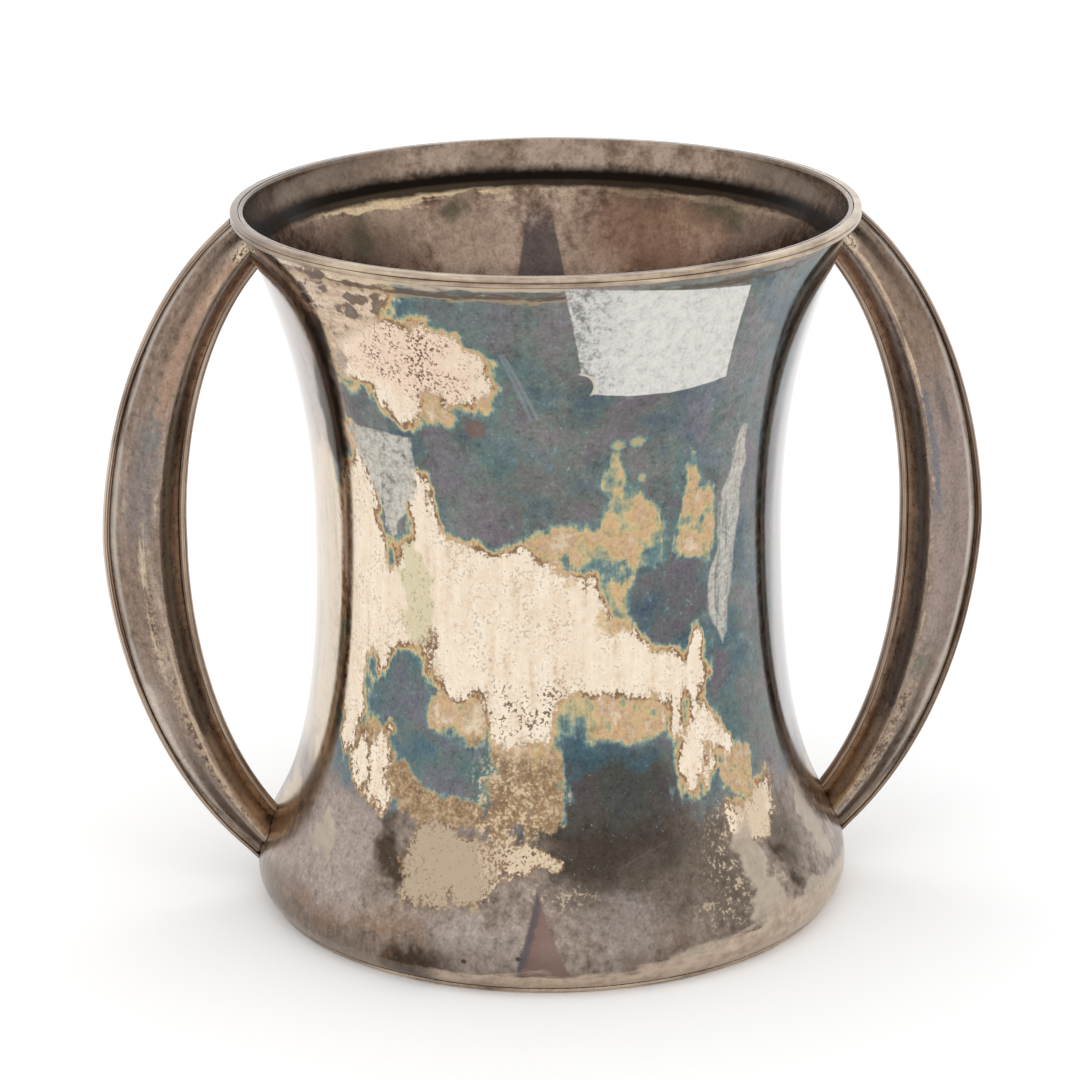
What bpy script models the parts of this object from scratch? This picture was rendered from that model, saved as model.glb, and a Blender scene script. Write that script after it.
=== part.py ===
"""A two-handled presentation cup: a waisted silver body with a reeded wire round its rim, a bottom plate,
a foot ring, and two hollow handles, each struck as a front and a back half.

Metres, +Z up. The origin is the middle of the foot, on the table, and the handles lie along X.
"""

import math

import bmesh
import bpy
from mathutils import Vector
from mathutils.geometry import interpolate_bezier

COLLECTION = "presentation_cup"
CUTTERS = "cutters"

# Overall sizes
HEIGHT = 0.1755
RIM_DIAMETER = 0.152
WAIST_DIAMETER = 0.1152
WAIST_HEIGHT = 0.0965
BASE_DIAMETER = 0.1487
BASE_SWELL_HEIGHT = 0.0070
WALL = 0.0012
GAP = 0.0003

# Rim wire, applied round the outside of the lip
WIRE_WIDTH = 0.0017
WIRE_HEIGHT = 0.0024
WIRE_REED_DEPTH = 0.0003

# Foot ring, bottom plate and the turned-in edge between them
FOOT_HEIGHT = 0.0013
FOOT_WIDTH = 0.0034
FOOT_ROUND = 0.0012
BASE_TURN_IN = 0.0024
BASE_LAND = 0.0018
PLATE_THICKNESS = 0.0010
PLATE_HEIGHT = 0.0031

# Handles: how far they reach, and where their middle lines meet the body
HANDLE_REACH = 0.1092
HANDLE_MIDDLE_HEIGHT = 0.0927
HANDLE_TOP_DROP = 0.0078
HANDLE_BOTTOM_RISE = 0.0162
HANDLE_TOP_ANGLE = math.radians(43.7)
HANDLE_BOTTOM_ANGLE = math.radians(47.2)
HANDLE_OVERRUN = 0.006
HANDLES_OFF_CENTRE = 0.0007

# Handle section: the crest lies nearer the inner edge, with a bead and a cove along both edges
HANDLE_WIDTH = 0.0208
HANDLE_END_WIDTH = 0.0133
HANDLE_THICKNESS = 0.0140
HANDLE_SHEET = 0.0009
CREST_SHARE = 0.34
CREST_END_SHARE = 0.45
OUTER_BEAD_WIDTH = 0.0015
OUTER_BEAD_RISE = 0.0021
INNER_BEAD_WIDTH = 0.0020
INNER_BEAD_RISE = 0.0018
OUTER_COVE_WIDTH = 0.0013
INNER_COVE_WIDTH = 0.0007
COVE_RISE = 0.0011

# Fullness of each curve, as a share of the height that it spans
LIP_FULLNESS = 0.137
UPPER_WAIST_FULLNESS = 0.629
LOWER_WAIST_FULLNESS = 0.875
SWELL_FULLNESS = 0.194
TURN_IN_FULLNESS = 0.50
HANDLE_END_FULLNESS = 0.40
HANDLE_MIDDLE_FULLNESS = 0.26
LIP_ANGLE = math.radians(4.4)

# How finely the curves are divided
TURNS = 72
SIDE_POINTS = 10
TURN_IN_POINTS = 5
HANDLE_STATIONS = 12
SECTION_POINTS = 6
HOLLOW_POINTS = 4
BEAD_POINTS = 5

SILVER = (0.60, 0.54, 0.48)
WORN_SILVER = (0.68, 0.59, 0.50)
BROWN_SILVER = (0.38, 0.31, 0.27)
DARK_SILVER = (0.30, 0.26, 0.23)

rim_radius = RIM_DIAMETER / 2
lip_radius = rim_radius - WIRE_WIDTH - GAP
waist_radius = WAIST_DIAMETER / 2
base_radius = BASE_DIAMETER / 2
turned_height = FOOT_HEIGHT + GAP
turned_radius = base_radius - BASE_TURN_IN
foot_radius = turned_radius - GAP
wire_bottom = HEIGHT - WIRE_HEIGHT


def clear_scene():
    for obj in list(bpy.data.objects):
        bpy.data.objects.remove(obj, do_unlink=True)


def new_collection(name):
    collection = bpy.data.collections.new(name)
    bpy.context.scene.collection.children.link(collection)
    return collection


def new_material(name, colour, roughness):
    material = bpy.data.materials.new(name)
    material.use_nodes = True
    shader = material.node_tree.nodes["Principled BSDF"]
    shader.inputs["Base Color"].default_value = (*colour, 1)
    shader.inputs["Metallic"].default_value = 1
    shader.inputs["Roughness"].default_value = roughness
    return material


def curve_between(start, start_handle, end_handle, end, count):
    """Points along one Bezier segment, both ends included."""
    knots = [Vector((*point, 0)) for point in (start, start_handle, end_handle, end)]
    return [(point.x, point.y) for point in interpolate_bezier(*knots, count)]


def offset_curve(points, distance):
    """The same points moved to the right of the way the curve runs."""
    moved = []
    for i, (x, y) in enumerate(points):
        before = points[max(i - 1, 0)]
        after = points[min(i + 1, len(points) - 1)]
        run = Vector((after[0] - before[0], after[1] - before[1])).normalized()
        moved.append((x + run.y * distance, y - run.x * distance))
    return moved


def body_outline():
    """The outside of the body as (radius, height), from the lip down to the turned-in edge."""
    upper = HEIGHT - WAIST_HEIGHT
    lower = WAIST_HEIGHT - BASE_SWELL_HEIGHT
    under = BASE_SWELL_HEIGHT - turned_height
    flare = curve_between(
        (lip_radius, HEIGHT),
        (lip_radius - LIP_FULLNESS * upper * math.sin(LIP_ANGLE),
         HEIGHT - LIP_FULLNESS * upper * math.cos(LIP_ANGLE)),
        (waist_radius, WAIST_HEIGHT + UPPER_WAIST_FULLNESS * upper),
        (waist_radius, WAIST_HEIGHT),
        SIDE_POINTS,
    )
    skirt = curve_between(
        (waist_radius, WAIST_HEIGHT),
        (waist_radius, WAIST_HEIGHT - LOWER_WAIST_FULLNESS * lower),
        (base_radius, BASE_SWELL_HEIGHT + SWELL_FULLNESS * lower),
        (base_radius, BASE_SWELL_HEIGHT),
        SIDE_POINTS,
    )
    turn_in = curve_between(
        (base_radius, BASE_SWELL_HEIGHT),
        (base_radius, BASE_SWELL_HEIGHT - TURN_IN_FULLNESS * under),
        (turned_radius + TURN_IN_FULLNESS * BASE_TURN_IN,
         turned_height + TURN_IN_FULLNESS * BASE_TURN_IN),
        (turned_radius, turned_height),
        TURN_IN_POINTS,
    )
    return flare + skirt[1:] + turn_in[1:]


def radius_at(height):
    """The body's outer radius at a height."""
    outline = body_outline()
    for (r_above, z_above), (r_below, z_below) in zip(outline, outline[1:]):
        if z_below <= height <= z_above:
            share = (height - z_below) / (z_above - z_below)
            return r_below + share * (r_above - r_below)
    return outline[0][0] if height > HEIGHT else outline[-1][0]


def object_of_mesh(name, mesh, collection, material):
    obj = bpy.data.objects.new(name, mesh)
    mesh.materials.append(material)
    collection.objects.link(obj)
    return obj


def turned(name, profile, collection, material):
    """A closed profile of (radius, height) points, swept once round Z."""
    mesh = bpy.data.meshes.new(name)
    edges = [(i, (i + 1) % len(profile)) for i in range(len(profile))]
    mesh.from_pydata([(radius, 0, height) for radius, height in profile], edges, [])
    obj = object_of_mesh(name, mesh, collection, material)
    screw = obj.modifiers.new("turn", "SCREW")
    screw.steps = TURNS
    screw.render_steps = TURNS
    screw.use_merge_vertices = True
    screw.merge_threshold = 0.00001
    screw.use_smooth_shade = True
    return obj


def body_shell(collection, material):
    outside = body_outline()
    inside = offset_curve(outside, WALL)
    inside[0] = (lip_radius - WALL, HEIGHT)
    inside[-1] = (turned_radius - BASE_LAND, turned_height)
    return turned("body_shell", outside + inside[::-1], collection, material)


def rim_wire(collection, material):
    """A flat wire with two rounded reeds outside, its inner face against the lip."""
    inner = lip_radius + GAP
    reed = WIRE_HEIGHT / 2
    profile = [(inner, HEIGHT)]
    for middle in (HEIGHT - reed / 2, HEIGHT - reed * 1.5):
        for degrees in (75, 30, -30, -75):
            angle = math.radians(degrees)
            profile.append((
                rim_radius - WIRE_REED_DEPTH + WIRE_REED_DEPTH * math.cos(angle),
                middle + reed / 2 * math.sin(angle),
            ))
    profile.append((inner, wire_bottom))
    return turned("rim_wire", profile, collection, material)


def foot_ring(collection, material):
    """A flat-bottomed ring whose outer edge rolls under."""
    roll = [
        (foot_radius - FOOT_ROUND * (1 - math.cos(angle)), FOOT_HEIGHT * (1 - math.sin(angle)))
        for angle in (math.radians(90 * step / 4) for step in range(5))
    ]
    inner = foot_radius - FOOT_WIDTH
    return turned("foot_ring", roll + [(inner, 0), (inner, FOOT_HEIGHT)], collection, material)


def bottom_plate(collection, material):
    """A disc lying on the turned-in edge of the body."""
    inside = offset_curve(body_outline(), WALL)
    near = [radius for radius, height in inside if abs(height - PLATE_HEIGHT) < 2 * PLATE_THICKNESS]
    edge = min([radius_at(PLATE_HEIGHT) - WALL] + near) - GAP
    bpy.ops.mesh.primitive_cylinder_add(
        vertices=TURNS,
        radius=edge,
        depth=PLATE_THICKNESS,
        location=(0, 0, PLATE_HEIGHT + PLATE_THICKNESS / 2),
    )
    obj = bpy.context.object
    obj.name = "bottom_plate"
    obj.data.materials.append(material)
    for owner in list(obj.users_collection):
        owner.objects.unlink(obj)
    collection.objects.link(obj)
    rounding = obj.modifiers.new("rounded_edge", "BEVEL")
    rounding.width = PLATE_THICKNESS / 4
    rounding.segments = 1
    rounding.limit_method = "ANGLE"
    return obj


def handle_spine():
    """The handle's middle line in its own plane, top to bottom, run on past both ends into the body."""
    top_height = HEIGHT - HANDLE_TOP_DROP
    top = Vector((radius_at(top_height), top_height))
    middle = Vector((HANDLE_REACH - HANDLE_WIDTH / 2, HANDLE_MIDDLE_HEIGHT))
    bottom = Vector((radius_at(HANDLE_BOTTOM_RISE), HANDLE_BOTTOM_RISE))
    rise = top.y - middle.y
    fall = middle.y - bottom.y
    top_run = Vector((math.cos(HANDLE_TOP_ANGLE), -math.sin(HANDLE_TOP_ANGLE)))
    bottom_run = Vector((math.cos(HANDLE_BOTTOM_ANGLE), math.sin(HANDLE_BOTTOM_ANGLE)))
    upper = curve_between(
        top,
        top + HANDLE_END_FULLNESS * rise * top_run,
        middle + Vector((0, HANDLE_MIDDLE_FULLNESS * rise)),
        middle,
        HANDLE_STATIONS,
    )
    lower = curve_between(
        middle,
        middle - Vector((0, HANDLE_MIDDLE_FULLNESS * fall)),
        bottom + HANDLE_END_FULLNESS * fall * bottom_run,
        bottom,
        HANDLE_STATIONS,
    )
    before = tuple(top - HANDLE_OVERRUN * top_run)
    after = tuple(bottom - HANDLE_OVERRUN * bottom_run)
    return [before] + upper + lower[1:] + [after]


def bead(middle, half_width, rise, start, stop):
    """Points round a bead, between two angles in degrees."""
    points = []
    for step in range(BEAD_POINTS):
        angle = math.radians(start + (stop - start) * step / (BEAD_POINTS - 1))
        points.append((middle + half_width * math.cos(angle), rise * math.sin(angle)))
    return points


def arch(outer_foot, crest, inner_foot, count):
    """A gentle slope up from the outer foot to the crest, and a steep one down to the inner foot."""
    broad = crest[0] - outer_foot[0]
    steep = inner_foot[0] - crest[0]
    climb = crest[1] - outer_foot[1]
    rising = curve_between(
        outer_foot,
        (outer_foot[0] + 0.40 * broad, outer_foot[1] + 0.20 * climb),
        (crest[0] - 0.44 * broad, crest[1]),
        crest,
        count,
    )
    falling = curve_between(
        crest,
        (crest[0] + 0.42 * steep, crest[1]),
        (inner_foot[0] - 0.38 * steep, inner_foot[1] + 0.42 * climb),
        inner_foot,
        count,
    )
    return rising + falling[1:]


def handle_section(width, crest_share):
    """Half of the handle's section: distance in from the outer edge, and height above the seam."""
    half = HANDLE_THICKNESS / 2 - GAP / 2
    crest = width * (1 - crest_share)
    outer_foot = OUTER_BEAD_WIDTH + OUTER_COVE_WIDTH
    inner_foot = width - INNER_BEAD_WIDTH - INNER_COVE_WIDTH
    return (
        bead(OUTER_BEAD_WIDTH / 2, OUTER_BEAD_WIDTH / 2, OUTER_BEAD_RISE, 180, 20)
        + arch((outer_foot, COVE_RISE), (crest, half), (inner_foot, COVE_RISE), SECTION_POINTS)
        + bead(width - INNER_BEAD_WIDTH / 2, INNER_BEAD_WIDTH / 2, INNER_BEAD_RISE, 160, 0)
        + arch(
            (outer_foot + HANDLE_SHEET, 0),
            (crest, half - HANDLE_SHEET),
            (inner_foot - HANDLE_SHEET, 0),
            HOLLOW_POINTS,
        )[::-1]
    )


def handle_half(name, side, front, collection, material):
    """The front or the back half of one handle, lofted along its spine. side and front are +1 or -1."""
    spine = handle_spine()
    middle = len(spine) // 2
    mesh = bmesh.new()
    rings = []
    for i, point in enumerate(spine):
        run = Vector(spine[min(i + 1, len(spine) - 1)]) - Vector(spine[max(i - 1, 0)])
        outward = Vector((-run.y, run.x)).normalized()
        along = min(abs(i - middle) / (middle - 1), 1)
        width = HANDLE_WIDTH + (HANDLE_END_WIDTH - HANDLE_WIDTH) * along ** 1.5
        crest_share = CREST_SHARE + (CREST_END_SHARE - CREST_SHARE) * along ** 4
        outer_edge = Vector(point) + outward * width / 2
        ring = []
        for inward, rise in handle_section(width, crest_share):
            place = outer_edge - outward * inward
            across = side * place.x - HANDLES_OFF_CENTRE
            ring.append(mesh.verts.new((across, -front * (GAP / 2 + rise), place.y)))
        rings.append(ring)
    for ring, following in zip(rings, rings[1:]):
        for j in range(len(ring)):
            k = (j + 1) % len(ring)
            mesh.faces.new((ring[j], ring[k], following[k], following[j]))
    mesh.faces.new(rings[0])
    mesh.faces.new(rings[-1])
    bmesh.ops.recalc_face_normals(mesh, faces=mesh.faces)
    data = bpy.data.meshes.new(name)
    mesh.to_mesh(data)
    mesh.free()
    data.shade_smooth()
    data.set_sharp_from_angle(angle=math.radians(50))
    return object_of_mesh(name, data, collection, material)


def body_clearance(collection, material):
    """What the handles are trimmed by: the body and its rim wire, one gap larger all round."""
    outline = [point for point in body_outline() if point[1] < wire_bottom - GAP]
    side = offset_curve(outline, -GAP)
    core = waist_radius / 2
    above = HEIGHT + 2 * HANDLE_OVERRUN
    below = -HANDLE_OVERRUN
    neck = radius_at(wire_bottom) + GAP
    profile = [
        (rim_radius + GAP, above),
        (rim_radius + GAP, wire_bottom - GAP),
        (neck, wire_bottom - GAP),
        *side[1:],
        (side[-1][0], below),
        (core, below),
        (core, above),
    ]
    cutter = turned("body_clearance", profile, collection, material)
    cutter.hide_render = True
    cutter.display_type = "WIRE"
    return cutter


def main():
    clear_scene()
    parts = new_collection(COLLECTION)
    cutters = new_collection(CUTTERS)
    cutters.hide_render = True
    body_shell(parts, new_material("body_silver", SILVER, 0.20))
    rim_wire(parts, new_material("rim_silver", WORN_SILVER, 0.28))
    foot_ring(parts, new_material("foot_silver", WORN_SILVER, 0.30))
    bottom_plate(parts, new_material("plate_silver", DARK_SILVER, 0.32))
    cutter = body_clearance(cutters, new_material("cutter", DARK_SILVER, 0.5))
    handle_silver = new_material("handle_silver", BROWN_SILVER, 0.26)
    for side_name, side in (("left", -1), ("right", 1)):
        for face_name, front in (("front", 1), ("back", -1)):
            name = f"handle_{side_name}_{face_name}_half"
            half = handle_half(name, side, front, parts, handle_silver)
            trim = half.modifiers.new("trim_to_body", "BOOLEAN")
            trim.operation = "DIFFERENCE"
            trim.solver = "EXACT"
            trim.object = cutter


main()
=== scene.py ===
"""The presentation cup dressed for rendering.

Finer meshes of the CAD pieces, tarnished silver, a plain floor, even light and the photograph's camera.
"""

import math

import bmesh
import bpy
import numpy as np
from mathutils import Matrix, Vector, noise
from mathutils.geometry import interpolate_bezier


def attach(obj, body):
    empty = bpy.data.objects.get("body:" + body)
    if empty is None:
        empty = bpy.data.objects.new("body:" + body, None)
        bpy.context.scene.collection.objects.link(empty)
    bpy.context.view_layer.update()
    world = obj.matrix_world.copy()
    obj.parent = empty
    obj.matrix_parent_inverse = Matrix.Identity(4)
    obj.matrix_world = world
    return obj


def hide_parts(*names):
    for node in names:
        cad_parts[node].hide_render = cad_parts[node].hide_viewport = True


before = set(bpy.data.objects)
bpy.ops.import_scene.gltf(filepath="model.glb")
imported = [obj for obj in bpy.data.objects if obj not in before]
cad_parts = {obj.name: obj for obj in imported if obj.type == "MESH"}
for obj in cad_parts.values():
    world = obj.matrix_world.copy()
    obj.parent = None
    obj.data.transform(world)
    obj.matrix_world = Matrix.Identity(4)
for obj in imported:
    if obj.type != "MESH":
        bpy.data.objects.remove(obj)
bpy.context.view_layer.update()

# Body, rim wire, foot ring and plate, in metres, as in the CAD part
HEIGHT = 0.1755
WAIST_HEIGHT = 0.0965
RIM_RADIUS = 0.0760
LIP_RADIUS = 0.0740
WAIST_RADIUS = 0.0576
BASE_RADIUS = 0.07435
BASE_SWELL_HEIGHT = 0.0070
TURNED_HEIGHT = 0.0016
TURNED_RADIUS = 0.07195
BASE_LAND = 0.0018
WALL = 0.0012
LIP_ROUND = 0.0003
WIRE_BOTTOM = 0.1731
WIRE_REED_DEPTH = 0.0003
FOOT_HEIGHT = 0.0013
FOOT_RADIUS = 0.07165
FOOT_WIDTH = 0.0034
FOOT_ROUND = 0.0012
PLATE_BOTTOM = 0.0031
PLATE_TOP = 0.0041
PLATE_RADIUS = 0.07076
PLATE_BEVEL = 0.00025
SEAM = 0.0001

# Handles
HANDLE_REACH = 0.1092
HANDLE_MIDDLE_HEIGHT = 0.0927
HANDLE_TOP_HEIGHT = 0.1677
HANDLE_BOTTOM_HEIGHT = 0.0162
HANDLE_TOP_ANGLE = math.radians(43.7)
HANDLE_BOTTOM_ANGLE = math.radians(47.2)
HANDLE_OVERRUN = 0.008
HANDLES_OFF_CENTRE = 0.0007
HANDLE_WIDTH = 0.0208
HANDLE_END_WIDTH = 0.0133
HANDLE_THICKNESS = 0.0140
HANDLE_SHEET = 0.0009
CREST_SHARE = 0.34
CREST_END_SHARE = 0.45
OUTER_BEAD = (0.0015, 0.0021)
INNER_BEAD = (0.0020, 0.0018)
OUTER_COVE = 0.0013
INNER_COVE = 0.0007
COVE_RISE = 0.0011

# How far each curve holds its end's direction, as a share of its height
LIP_FULLNESS = 0.137
UPPER_WAIST_FULLNESS = 0.629
LOWER_WAIST_FULLNESS = 0.875
SWELL_FULLNESS = 0.194
TURN_IN_FULLNESS = 0.50
HANDLE_END_FULLNESS = 0.40
HANDLE_MIDDLE_FULLNESS = 0.26
LIP_ANGLE = math.radians(4.4)

# The same for the handle's broad slope and its steep one, as shares of the slope's width and of its climb
BROAD_FOOT_HOLD = (0.40, 0.20)
BROAD_CREST_HOLD = 0.44
STEEP_CREST_HOLD = 0.42
STEEP_FOOT_HOLD = (0.38, 0.42)

# How the handle's section changes from its middle to its ends: as this power of the distance
NARROWING = 1.5
CREST_MOVING = 4

# A reed's half arc, and where a handle's bead ends in the cove beside it, in degrees
REED_ARC = 85
BEAD_END = 20
# Dirt in the rim wire's grooves, in millimetres
GROOVE_HALF_WIDTH = 0.12
# The groove along a bead: how deep, as a share of the bead's rise, and how wide in degrees
BEAD_GROOVE = 0.14
BEAD_GROOVE_WIDTH = 13

# How finely the shapes are divided
TURNS = 360
SIDE_POINTS = 64
TURN_IN_POINTS = 16
ROUND_STEPS = 8
HANDLE_STATIONS = 44
OVERRUN_STEPS = 6
SECTION_POINTS = 12
HOLLOW_POINTS = 5
BEAD_POINTS = 21
HALVINGS = 24


def curve_between(start, start_handle, end_handle, end, count):
    """Points along one Bezier segment, both ends included."""
    knots = [Vector((*point, 0)) for point in (start, start_handle, end_handle, end)]
    return [(point.x, point.y) for point in interpolate_bezier(*knots, count)]


def offset_curve(points, distance):
    """The same points moved to the right of the way the curve runs."""
    moved = []
    for i, (x, y) in enumerate(points):
        before = points[max(i - 1, 0)]
        after = points[min(i + 1, len(points) - 1)]
        run = Vector((after[0] - before[0], after[1] - before[1])).normalized()
        moved.append((x + run.y * distance, y - run.x * distance))
    return moved


def body_outline():
    """The outside of the body as (radius, height), from the lip down to the turned-in edge."""
    upper = HEIGHT - WAIST_HEIGHT
    lower = WAIST_HEIGHT - BASE_SWELL_HEIGHT
    under = BASE_SWELL_HEIGHT - TURNED_HEIGHT
    lip = LIP_FULLNESS * upper
    turn_in = TURN_IN_FULLNESS * (BASE_RADIUS - TURNED_RADIUS)
    flare = curve_between(
        (LIP_RADIUS, HEIGHT),
        (LIP_RADIUS - lip * math.sin(LIP_ANGLE), HEIGHT - lip * math.cos(LIP_ANGLE)),
        (WAIST_RADIUS, WAIST_HEIGHT + UPPER_WAIST_FULLNESS * upper),
        (WAIST_RADIUS, WAIST_HEIGHT),
        SIDE_POINTS,
    )
    skirt = curve_between(
        (WAIST_RADIUS, WAIST_HEIGHT),
        (WAIST_RADIUS, WAIST_HEIGHT - LOWER_WAIST_FULLNESS * lower),
        (BASE_RADIUS, BASE_SWELL_HEIGHT + SWELL_FULLNESS * lower),
        (BASE_RADIUS, BASE_SWELL_HEIGHT),
        SIDE_POINTS,
    )
    roll = curve_between(
        (BASE_RADIUS, BASE_SWELL_HEIGHT),
        (BASE_RADIUS, BASE_SWELL_HEIGHT - TURN_IN_FULLNESS * under),
        (TURNED_RADIUS + turn_in, TURNED_HEIGHT + turn_in),
        (TURNED_RADIUS, TURNED_HEIGHT),
        TURN_IN_POINTS,
    )
    return flare + skirt[1:] + roll[1:]


OUTLINE = body_outline()


def radius_at(height):
    """The body's outer radius at a height."""
    if height >= HEIGHT:
        return OUTLINE[0][0]
    for (r_above, z_above), (r_below, z_below) in zip(OUTLINE, OUTLINE[1:]):
        if z_below <= height <= z_above:
            share = (height - z_below) / (z_above - z_below)
            return r_below + share * (r_above - r_below)
    return OUTLINE[-1][0]


def add_object(name, points, faces, materials, node, sharp):
    """A mesh in place of a CAD node: smooth, with edges sharper than so many degrees kept."""
    mesh = bpy.data.meshes.new(name)
    mesh.from_pydata(points, [], faces)
    work = bmesh.new()
    work.from_mesh(mesh)
    bmesh.ops.recalc_face_normals(work, faces=work.faces)
    work.to_mesh(mesh)
    work.free()
    mesh.shade_smooth()
    mesh.set_sharp_from_angle(angle=math.radians(sharp))
    for material in materials:
        mesh.materials.append(material)
    obj = bpy.data.objects.new(name, mesh)
    bpy.context.scene.collection.objects.link(obj)
    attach(obj, "root")
    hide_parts(node)
    return mesh


def spun(profile):
    """The points of a (radius, height) profile at each turn round Z, from the front on."""
    points = []
    for turn in range(TURNS):
        angle = math.tau * turn / TURNS
        for radius, height in profile:
            points.append((radius * math.sin(angle), -radius * math.cos(angle), height))
    return points


def turned(name, profile, materials, node, sharp=40):
    """A closed profile swept round Z."""
    count = len(profile)
    faces = []
    for turn in range(TURNS):
        here, there = turn * count, (turn + 1) % TURNS * count
        for i in range(count):
            k = (i + 1) % count
            faces.append((here + i, here + k, there + k, there + i))
    return add_object(name, spun(profile), faces, materials, node, sharp)


# How bright the light is, and how much of that the colours below are divided by
LIGHT = 1.22
PALETTE_LIGHT = 1.09


def rgba(colour):
    """A colour for Blender. A lone number is a grey, used as it is.

    Three numbers are a colour on the 0 to 255 scale, made linear and darker by what the light adds.
    """
    if len(colour) == 1:
        return (*colour * 3, 1)
    linear = []
    for value in colour:
        value /= 255
        value = value / 12.92 if value <= 0.04045 else ((value + 0.055) / 1.055) ** 2.4
        linear.append(value / PALETTE_LIGHT)
    return (*linear, 1)


class Value:
    """A number that differs from place to place. Sums and products of values make the nodes.

    A product waits for what is added to it, because one node does both.
    """

    def __init__(self, graph, socket=None, factors=()):
        self.graph, self.made, self.factors = graph, socket, factors

    def socket(self):
        if self.made is None:
            self.made = self.graph.math("MULTIPLY", *self.factors).made
        return self.made

    def __mul__(self, other):
        return Value(self.graph, factors=(self, other))

    def __add__(self, other):
        if self.made is None:
            return self.graph.math("MULTIPLY_ADD", *self.factors, other)
        return self.graph.math("ADD", self, other)

    def __sub__(self, other):
        if self.made is None and not isinstance(other, Value):
            return self + -other
        return self.graph.math("SUBTRACT", self, other)

    def __rsub__(self, other):
        return self.graph.math("SUBTRACT", other, self)

    def __abs__(self):
        return self.graph.math("ABSOLUTE", self)


class Graph:
    """A material, and short ways to add nodes to it."""

    def __init__(self, name):
        self.material = bpy.data.materials.new(name)
        self.material.use_nodes = True
        self.tree = self.material.node_tree
        self.shader = self.tree.nodes["Principled BSDF"]
        self.coords = self.node("TexCoord").outputs["Object"]

    def put(self, sockets, values):
        """Gives sockets their numbers, colours or links, by name or number."""
        for key, value in dict(values).items():
            socket = sockets[key]
            if isinstance(value, Value):
                value = value.socket()
            if isinstance(value, bpy.types.NodeSocket):
                self.tree.links.new(value, socket)
            else:
                socket.default_value = rgba(value) if socket.type == "RGBA" else value

    def node(self, kind, values=(), **settings):
        node = self.tree.nodes.new("ShaderNode" + kind)
        for key, value in settings.items():
            setattr(node, key, value)
        self.put(node.inputs, values)
        return node

    def value(self, output, kind, values=(), **settings):
        return Value(self, self.node(kind, values, **settings).outputs[output])

    def math(self, operation, *values):
        return self.value(0, "Math", enumerate(values), operation=operation)

    def least(self, first, *others):
        for other in others:
            first = self.math("MINIMUM", first, other)
        return first

    def most(self, first, *others):
        for other in others:
            first = self.math("MAXIMUM", first, other)
        return first

    def vector(self, operation, *values):
        return self.node("VectorMath", enumerate(values), operation=operation).outputs["Vector"]

    def stretched(self, x, y, z):
        return self.vector("MULTIPLY", self.coords, (x, y, z))

    def combine(self, *values):
        return self.node("CombineXYZ", enumerate(values)).outputs[0]

    def length(self, x, y):
        return self.value("Value", "VectorMath", {0: self.combine(x, y, 0)}, operation="LENGTH")

    def noise(self, scale, detail, rough, vector=None, output="Fac"):
        """Noise of a size: scale is in features per metre."""
        vector = self.coords if vector is None else vector
        values = {"Vector": vector, "Scale": scale, "Detail": detail, "Roughness": rough}
        return self.value(output, "TexNoise", values)

    def cells(self, scale, vector):
        """Distance from the middle of the nearest cell, and a shade that differs from cell to cell."""
        node = self.node("TexVoronoi", {"Vector": vector, "Scale": scale})
        return Value(self, node.outputs["Distance"]), Value(self, node.outputs["Color"])

    def attribute(self, name):
        return self.value("Fac", "Attribute", attribute_name=name)

    def step(self, value, low, high, to_low=0, to_high=1):
        """Smoothly from to_low at low to to_high at high."""
        values = {"Value": value, "From Min": low, "From Max": high, "To Min": to_low, "To Max": to_high}
        return self.value("Result", "MapRange", values, interpolation_type="SMOOTHSTEP")

    def span(self, value, low, high, soft):
        """1 between low and high, and smoothly down to 0 past them."""
        return self.step(value, low - soft, low + soft) * self.step(value, high + soft, high - soft)

    def ramp(self, value, stops):
        """A colour that changes with a value. A stop is its place and the colour or grey there."""
        node = self.node("ValToRGB", {"Fac": value})
        elements = node.color_ramp.elements
        while len(elements) < len(stops):
            elements.new(0.5)
        for element, (place, *colour) in zip(elements, stops):
            element.position = place
            element.color = rgba(colour)
        return node.outputs["Color"]

    def mix(self, share, a, b, blend="MIX"):
        values = {"Factor": share, "A": a, "B": b}
        return self.node("Mix", values, data_type="RGBA", blend_type=blend).outputs["Result"]

    def shade(self, colour, share, greys):
        """The colour made darker or lighter by a ramp of greys."""
        return self.mix(1, colour, self.ramp(share, greys), "MULTIPLY")

    def lay(self, mask, shade, strength=None):
        """Lays a shade over the material's colour so far."""
        mask = mask if strength is None else mask * strength
        self.colour = self.mix(mask, self.colour, shade)

    def bump(self, height, distance, strength):
        node = self.node("Bump", {"Strength": strength, "Distance": distance, "Height": height})
        self.put(self.shader.inputs, {"Normal": node.outputs["Normal"]})

    def finish(self, roughness, metallic=1):
        self.put(self.shader.inputs, {"Base Color": self.colour, "Roughness": roughness, "Metallic": metallic})
        return self.material


# Millimetres along the body's side for each degree round it, near the waist
MM_PER_DEGREE = 1.05

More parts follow.
